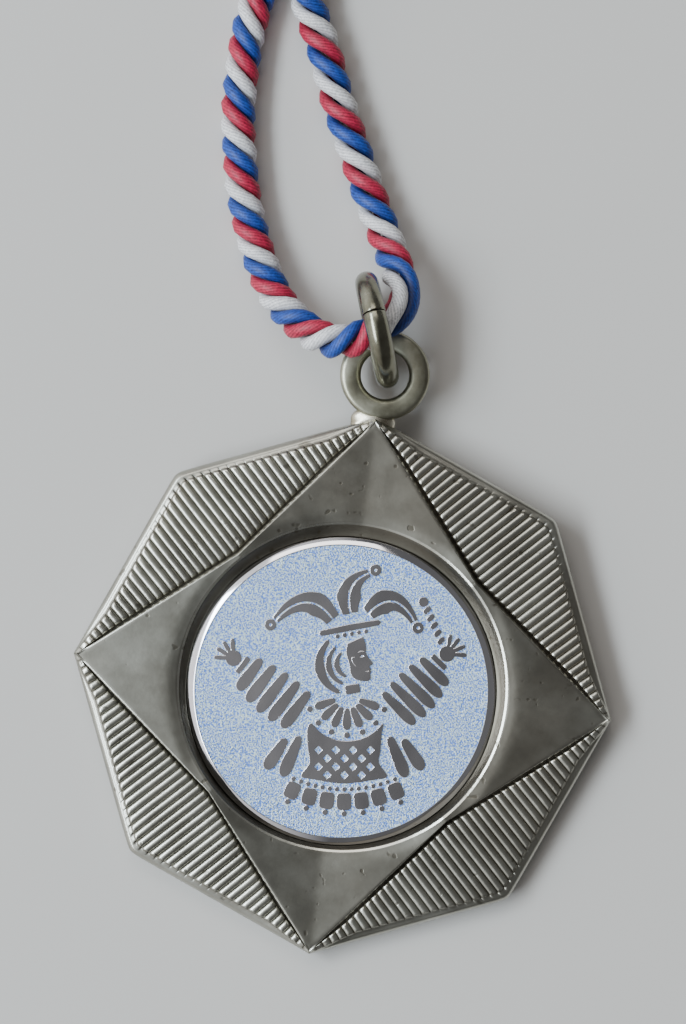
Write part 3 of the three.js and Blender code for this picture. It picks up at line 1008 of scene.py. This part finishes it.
def sleeve(shoulder, wrist):
    """Puffs across an arm, a cuff and an open hand."""
    shoulder, wrist = np.array(shoulder), np.array(wrist)
    reach = np.linalg.norm(wrist - shoulder)
    along = (wrist - shoulder) / reach
    below = np.array([along[1], -along[0]])
    below *= -math.copysign(1, below[1])
    outlines = []
    for i in range(SLEEVE_PUFFS):
        t = (i + 0.5) / SLEEVE_PUFFS
        middle = shoulder + along * reach * t
        fall = 1.15 + 1.15 * math.sin(math.pi * (0.25 + 0.62 * t))
        wide = PUFF_SHARE * reach / SLEEVE_PUFFS
        outlines.append(petal(middle - 0.7 * fall * below, middle + fall * below, wide))
    angle = math.atan2(along[1], along[0])
    outlines.append(block(*(wrist + 0.3 * along), *CUFF_SIZE, angle))
    palm = wrist + 1.25 * along
    hand = []
    for turn in range(-180, 180, 3):
        finger = max(math.exp(-(((turn - way) / FINGER_WIDTH) ** 4)) for way in FINGER_SPREAD)
        reach, way = PALM + FINGER_LENGTH * finger, angle + math.radians(turn)
        hand.append((palm[0] + reach * math.cos(way), palm[1] + reach * math.sin(way)))
    outlines.append(hand)
    return outlines, palm


def on_face(points):
    """Points of the face set in place, at its size and tilt."""
    c, s = math.cos(FACE_TILT), math.sin(FACE_TILT)
    left, foot = FACE_PLACE
    placed = []
    for point in points:
        x, y = point[0] * FACE_THIRD, point[1] * FACE_THIRD
        placed.append((left + c * x - s * y, foot + s * x + c * y, *point[2:]))
    return placed


def head_outlines():
    """The face with its eye, brow, mouth and ear, the hair behind it and the cap."""
    outlines = [smooth_outline(on_face(FACE)), smooth_outline(on_face(FACE_EYE))]
    outlines.append(ribbon(on_face(FACE_BROW), (0.04, 0.08, 0.04)))
    outlines.append(ribbon(on_face(FACE_MOUTH), (0.05, 0.07, 0.03)))
    outlines.append(ribbon(on_face(FACE_EAR), (0.05, 0.09, 0.05)))
    outlines.append(ribbon(CAP_BAND, (0.4, 0.5, 0.4)))
    for x, y in np.linspace(*CAP_BEAD_ENDS, CAP_BEADS):
        outlines.append(dot(x, y, 0.15))
    for places in CAP_HORNS:
        outlines += horn(*places)
    for radius, wide in HOOD_CURLS:
        curl = round_points(HOOD_MIDDLE, radius, 138, 246, 7)
        outlines.append(ribbon(curl, (0.4 * wide, wide, 0.4 * wide)))
    outlines.append(block(*COLLAR, *COLLAR_SIZE, FACE_TILT))
    return outlines


def ruff_outlines():
    """Petals and beads round the neck."""
    inner, outer, beads = [
        round_points(NECK, radius, RUFF_FROM, RUFF_TO, RUFF_PETALS)
        for radius in (RUFF_INNER, RUFF_OUTER, RUFF_BEAD)
    ]
    return [petal(a, b, 0.66) for a, b in zip(inner, outer)] + [dot(x, y, 0.22) for x, y in beads]


def arm_outlines():
    """Both sleeves and hands, and the stick over the second hand."""
    outlines = []
    for places in SLEEVES:
        parts, palm = sleeve(*places)
        outlines += parts
    way = np.array(STICK_WAY)
    for i in range(STICK_BARS):
        at = palm + (STICK_START + STICK_PITCH * i) * way
        outlines.append(block(*at, *STICK_BAR_SIZE, math.radians(45), 0.6))
    knob = palm + (STICK_START + 0.05 + STICK_PITCH * STICK_BARS) * way
    outlines.append(dot(*knob, STICK_KNOB))
    return outlines


def tunic_outlines():
    """The tunic with its open checks, and two tails of the coat on each side."""
    left = [(TUNIC_MIDDLE - x, y) for x, y in TUNIC_SIDE]
    right = [(TUNIC_MIDDLE + x, y) for x, y in TUNIC_SIDE]
    foot = [(TUNIC_MIDDLE + x, TUNIC_FOOT + HEM_CURVE * x * x) for x in (-2.6, 0.0, 2.6)]
    top = round_points(NECK, TUNIC_TOP, 322, 218, 7)
    outlines = [smooth_outline(left + foot + right[::-1] + top)]
    for row, count in enumerate(CHECK_ROWS):
        y = CHECK_TOP - CHECK_DROP * row
        for i in range(count):
            x = TUNIC_MIDDLE + (i - (count - 1) / 2) * CHECK_PITCH
            outlines.append(block(x, y, CHECK_SIZE, CHECK_SIZE, math.radians(45)))
    for sign in (1, -1):
        for ends in COAT_TAILS:
            outlines.append(petal(*[(TUNIC_MIDDLE + sign * x, y) for x, y in ends], 1.0))
    return outlines


def skirt_outlines():
    """A row of beads on the hem, and square tabs that each end in a bead."""
    outlines = []
    for x in np.linspace(-HEM_HALF_WIDTH, HEM_HALF_WIDTH, HEM_BEADS):
        outlines.append(dot(TUNIC_MIDDLE + x, HEM_Y + HEM_CURVE * x * x, 0.16))
    for x in np.linspace(-SKIRT_HALF_WIDTH, SKIRT_HALF_WIDTH, SKIRT_TABS):
        y = SKIRT_Y + HEM_CURVE * x * x
        turn = math.atan(2 * HEM_CURVE * x)
        outlines.append(block(TUNIC_MIDDLE + x, y, *TAB_SIZE, turn, 0.5))
        bead_x = TUNIC_MIDDLE + x + TAB_BEAD_DROP * math.sin(turn)
        outlines.append(dot(bead_x, y - TAB_BEAD_DROP * math.cos(turn), 0.2))
    return outlines


def figure_outlines():
    """Every outline of the polished figure. One that lies within another is a hole in it."""
    upper = head_outlines() + ruff_outlines() + arm_outlines()
    return upper + tunic_outlines() + skirt_outlines()


def make_figure():
    """The polished islands that the etching left, cut from flat outlines with eased edges."""
    curve = bpy.data.curves.new("figure_outlines", "CURVE")
    curve.dimensions = "2D"
    curve.fill_mode = "BOTH"
    curve.extrude = (FIGURE_HIGH - FIGURE_EDGE) * MM
    curve.bevel_depth = FIGURE_EDGE * MM
    curve.bevel_resolution = 1
    for outline in figure_outlines():
        spline = curve.splines.new("POLY")
        spline.points.add(len(outline) - 1)
        spline.points.foreach_set(
            "co", [value for x, y in outline for value in (x * MM, y * MM, 0.0, 1.0)]
        )
        spline.use_cyclic_u = True
    shape = bpy.data.objects.new("figure_outlines", curve)
    bpy.context.collection.objects.link(shape)
    bpy.context.view_layer.update()
    mesh = bpy.data.meshes.new_from_object(shape.evaluated_get(bpy.context.evaluated_depsgraph_get()))
    bpy.data.objects.remove(shape)
    ground = DISC_HIGH - 0.03
    place = Vector((DISC_OFFSET[0] + FIGURE_SHIFT, DISC_OFFSET[1], ground)) * MM
    mesh.transform(MEDAL @ Matrix.Translation(place) @ Matrix.Rotation(FIGURE_TURN, 4, "Z"))
    figure = bpy.data.objects.new("disc_figure", mesh)
    bpy.context.collection.objects.link(figure)
    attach(figure, "medal")
    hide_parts("insert_disc")
    return figure


figure = make_figure()


# -------- materials


def antique_brass():
    """Dull olive-grey brass, dark in the hollows, rubbed pale on what stands up."""
    n = Nodes("antique_brass")
    relief = n.attribute("relief")
    cloud = n.noise(230, detail=6, roughness=0.62)
    stain = n.noise(90, detail=3, roughness=0.5)
    fine = n.noise(2600, detail=3, roughness=0.6)
    pits = n.noise(1250, detail=1, roughness=0.4)
    tone = n.math("ADD", n.math("MULTIPLY", relief, 0.78), n.math("MULTIPLY", cloud, 0.30))
    colour = n.ramp(
        tone,
        [
            (0.08, (0.042, 0.037, 0.026)),
            (0.42, (0.180, 0.169, 0.138)),
            (0.68, (0.320, 0.312, 0.272)),
            (1.0, (0.74, 0.74, 0.66)),
        ],
    )
    colour = n.mix(n.grey(stain, 0.45, 0.7, 0.0, 0.35), colour, (0.27, 0.235, 0.185))
    speck = n.grey(pits, 0.70, 0.76)
    colour = n.mix(n.math("MULTIPLY", speck, 0.5), colour, (0.08, 0.065, 0.04))
    rough = n.math("ADD", n.grey(cloud, 0.3, 0.7, 0.42, 0.52), n.math("MULTIPLY", relief, -0.20))
    n.set(Base_Color=colour, Roughness=rough, Metallic=1.0)
    height = n.math("ADD", n.math("MULTIPLY", fine, 0.4), n.math("MULTIPLY", speck, -1.0))
    n.set(Normal=n.bump(height, 0.02 * MM, 0.5))
    return n.material


def rubbed_brass(name, smoothest, lighten):
    """Brass polished by handling; lighten scales its three tones."""
    n = Nodes(name)
    cloud = n.noise(420, detail=5, roughness=0.6)
    fine = n.noise(3200, detail=3)
    colour = n.ramp(
        cloud,
        [
            (0.3, tuple(lighten * c for c in (0.15, 0.140, 0.10))),
            (0.55, tuple(lighten * c for c in (0.27, 0.262, 0.20))),
            (0.8, tuple(lighten * c for c in (0.44, 0.430, 0.35))),
        ],
    )
    rough = n.grey(cloud, 0.3, 0.7, smoothest, smoothest + 0.11)
    n.set(Base_Color=colour, Roughness=rough, Metallic=1.0)
    n.set(Normal=n.bump(fine, 0.010 * MM, 0.4))
    return n.material


def solder_metal():
    n = Nodes("solder")
    cloud = n.noise(900, detail=4)
    n.set(
        Base_Color=n.ramp(cloud, [(0.3, (0.36, 0.32, 0.23)), (0.7, (0.70, 0.66, 0.55))]),
        Roughness=n.grey(cloud, 0.3, 0.7, 0.22, 0.4),
        Metallic=1.0,
        Normal=n.bump(cloud, 0.05 * MM, 0.6),
    )
    return n.material


def ferrule_brass():
    n = Nodes("ferrule_brass")
    cloud = n.noise(500, detail=4)
    n.set(
        Base_Color=n.ramp(cloud, [(0.3, (0.55, 0.41, 0.19)), (0.7, (0.78, 0.62, 0.33))]),
        Roughness=n.grey(cloud, 0.3, 0.7, 0.2, 0.34),
        Metallic=1.0,
        Normal=n.bump(n.noise(3500), 0.01 * MM, 0.4),
    )
    return n.material


def polished_aluminium():
    """Mirror-bright, with the slight waviness that a stamping keeps."""
    n = Nodes("polished_aluminium")
    cloud = n.noise(300, detail=4)
    scratch = n.noise(5000, detail=2)
    wave = n.noise(260, detail=1, roughness=0.4)
    waved = n.bump(wave, 0.6 * MM, 0.05)
    n.set(
        Base_Color=n.ramp(cloud, [(0.3, (0.84, 0.83, 0.88)), (0.7, (0.93, 0.92, 0.96))]),
        Roughness=n.grey(cloud, 0.3, 0.7, 0.06, 0.11),
        Metallic=1.0,
        Normal=n.bump(scratch, 0.002 * MM, 0.3, waved),
    )
    return n.material


def frosted_aluminium():
    """The etched ground: pale grains on blue, about an eighth of a millimetre apart. The blue is
    partly the finish's own tint and partly painted reflection of bluish light.
    """
    n = Nodes("frosted_aluminium")
    grain = n.noise(8200, detail=2, roughness=0.6)
    cloud = n.noise(350, detail=3)
    n.set(
        # Both tones carry blue that is partly the finish's own tint and partly painted reflection of
        # bluish light.
        Base_Color=n.ramp(grain, [(0.44, (0.14, 0.30, 0.85)), (0.54, (0.80, 0.97, 1.0))]),
        Roughness=n.grey(cloud, 0.3, 0.7, 0.34, 0.40),
        Metallic=0.6,
        Normal=n.bump(grain, 0.16 * MM, 0.9),
    )
    return n.material


def strand_satin(name, dark, light):
    """One dyed strand: fine silky filaments wound round it, with painted shade that darkens its sides
    facing into the grooves between strands.
    """
    n = Nodes(name)
    painted_shade_facing = n.attribute("painted_shade_facing")
    uv = n.tree.nodes.new("ShaderNodeUVMap")
    uv.uv_map = "strand"
    split = n.add("ShaderNodeSeparateXYZ", Vector=uv.outputs["UV"])
    drift = n.math("MULTIPLY", n.noise(700, detail=2), 0.9)
    wound = n.math("ADD", split.outputs["X"], split.outputs["Y"])
    phase = n.math("ADD", n.math("MULTIPLY", wound, YARNS), drift)
    wave = n.math("SINE", n.math("MULTIPLY", phase, math.tau))
    hair = n.noise(5200, detail=3, roughness=0.7)
    height = n.math("ADD", n.math("MULTIPLY", wave, 0.13), hair)
    # Painted shade: the colour goes towards the dark tone where the strand faces into the grooves,
    # multiplied with the filaments' own light and dark, so the dark colour is both.
    tone = n.math("MULTIPLY", n.grey(height, 0.2, 0.75), n.grey(painted_shade_facing, -0.1, 0.75, 0.25, 1.0))
    n.set(
        Base_Color=n.mix(tone, dark, light),
        Roughness=0.5,
        Specular_IOR_Level=0.5,
        Normal=n.bump(height, 0.035 * MM, 0.7),
    )
    n.set(Sheen_Weight=0.12, Sheen_Roughness=0.35)
    return n.material


def assign(obj, *materials):
    while obj.data.materials:
        obj.data.materials.pop()
    for material in materials:
        obj.data.materials.append(material)


brass = antique_brass()
assign(plate, brass)
assign(eye, rubbed_brass("eye_brass", 0.30, 1.25))
# Painted reflection: the ring's tones are scaled down to 0.9, darkened as if its sides mirrored dark
# surroundings.
assign(ring, rubbed_brass("ring_brass", 0.17, 0.9))
assign(solder, solder_metal())
assign(ferrule, ferrule_brass())
assign(disc, polished_aluminium(), frosted_aluminium())
assign(figure, disc.data.materials[0])
strands = (
    strand_satin("strand_red", (0.14, 0.003, 0.012), (0.66, 0.024, 0.085)),
    strand_satin("strand_blue", (0.003, 0.010, 0.075), (0.016, 0.095, 0.52)),
    strand_satin("strand_white", (0.36, 0.35, 0.37), (0.96, 0.95, 0.95)),
)
for cord, _ in cord_legs:
    assign(cord, *strands)


def foam():
    n = Nodes("adhesive_foam")
    cells = n.noise(4000, detail=2)
    n.set(Base_Color=n.ramp(cells, [(0.3, (0.7, 0.69, 0.65)), (0.7, (0.85, 0.84, 0.8))]))
    n.set(Roughness=0.8, Normal=n.bump(cells, 0.03 * MM, 0.5))
    return n.material


assign(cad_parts["adhesive_pad"], foam())


# -------- floor and light


FLOOR_HALF = 3000.0
# Each light's place and size in metres, watts and colour
WINDOW = ((-0.46, -0.06, 0.55), (0.66, 0.18), 6.4, (0.80, 0.91, 1.0))
ROOM = ((-0.15, 0.55, 0.75), (0.6, 0.35), 1.7, (1.0, 0.97, 0.93))
# Brightness of the surround from the window's side, 0, to the far side, 1
SURROUND = ((0.0, 1.5), (0.4, 0.52), (0.52, 0.1), (1.0, 0.14))


def make_floor():
    corners = [(x * FLOOR_HALF, y * FLOOR_HALF, 0) for x, y in ((-1, -1), (1, -1), (1, 1), (-1, 1))]
    floor = new_object("floor", corners, [(0, 1, 2, 3)], smooth=False)
    n = Nodes("pale_floor")
    n.set(Base_Color=(0.62, 0.60, 0.57, 1.0), Roughness=0.7)
    assign(floor, n.material)


def area_light(name, place, size, power, colour):
    data = bpy.data.lights.new(name, "AREA")
    data.shape = "RECTANGLE"
    data.size, data.size_y = size
    data.energy = power
    data.color = colour
    light = bpy.data.objects.new(name, data)
    light.location = place
    light.rotation_euler = (-Vector(place)).to_track_quat("-Z", "Y").to_euler()
    bpy.context.collection.objects.link(light)


def make_world():
    """Plain studio surround in greys: bright on the window's side, dim overhead and beyond."""
    world = bpy.data.worlds.new("world")
    world.use_nodes = True
    tree = world.node_tree
    place = tree.nodes.new("ShaderNodeTexCoord")
    split = tree.nodes.new("ShaderNodeSeparateXYZ")
    tree.links.new(place.outputs["Generated"], split.inputs[0])
    across = tree.nodes.new("ShaderNodeMapRange")
    across.inputs["From Min"].default_value = -1.0
    tree.links.new(split.outputs["X"], across.inputs["Value"])
    ramp = tree.nodes.new("ShaderNodeValToRGB")
    tree.links.new(across.outputs["Result"], ramp.inputs["Fac"])
    elements = ramp.color_ramp.elements
    while len(elements) < len(SURROUND):
        elements.new(0.5)
    for element, (at, level) in zip(elements, SURROUND):
        element.position = at
        element.color = (level, level, level, 1.0)
    background = tree.nodes["Background"]
    tree.links.new(ramp.outputs["Color"], background.inputs["Color"])
    background.inputs["Strength"].default_value = 1.0
    bpy.context.scene.world = world


def make_light():
    make_world()
    area_light("window", *WINDOW)
    area_light("room", *ROOM)


make_floor()
make_light()
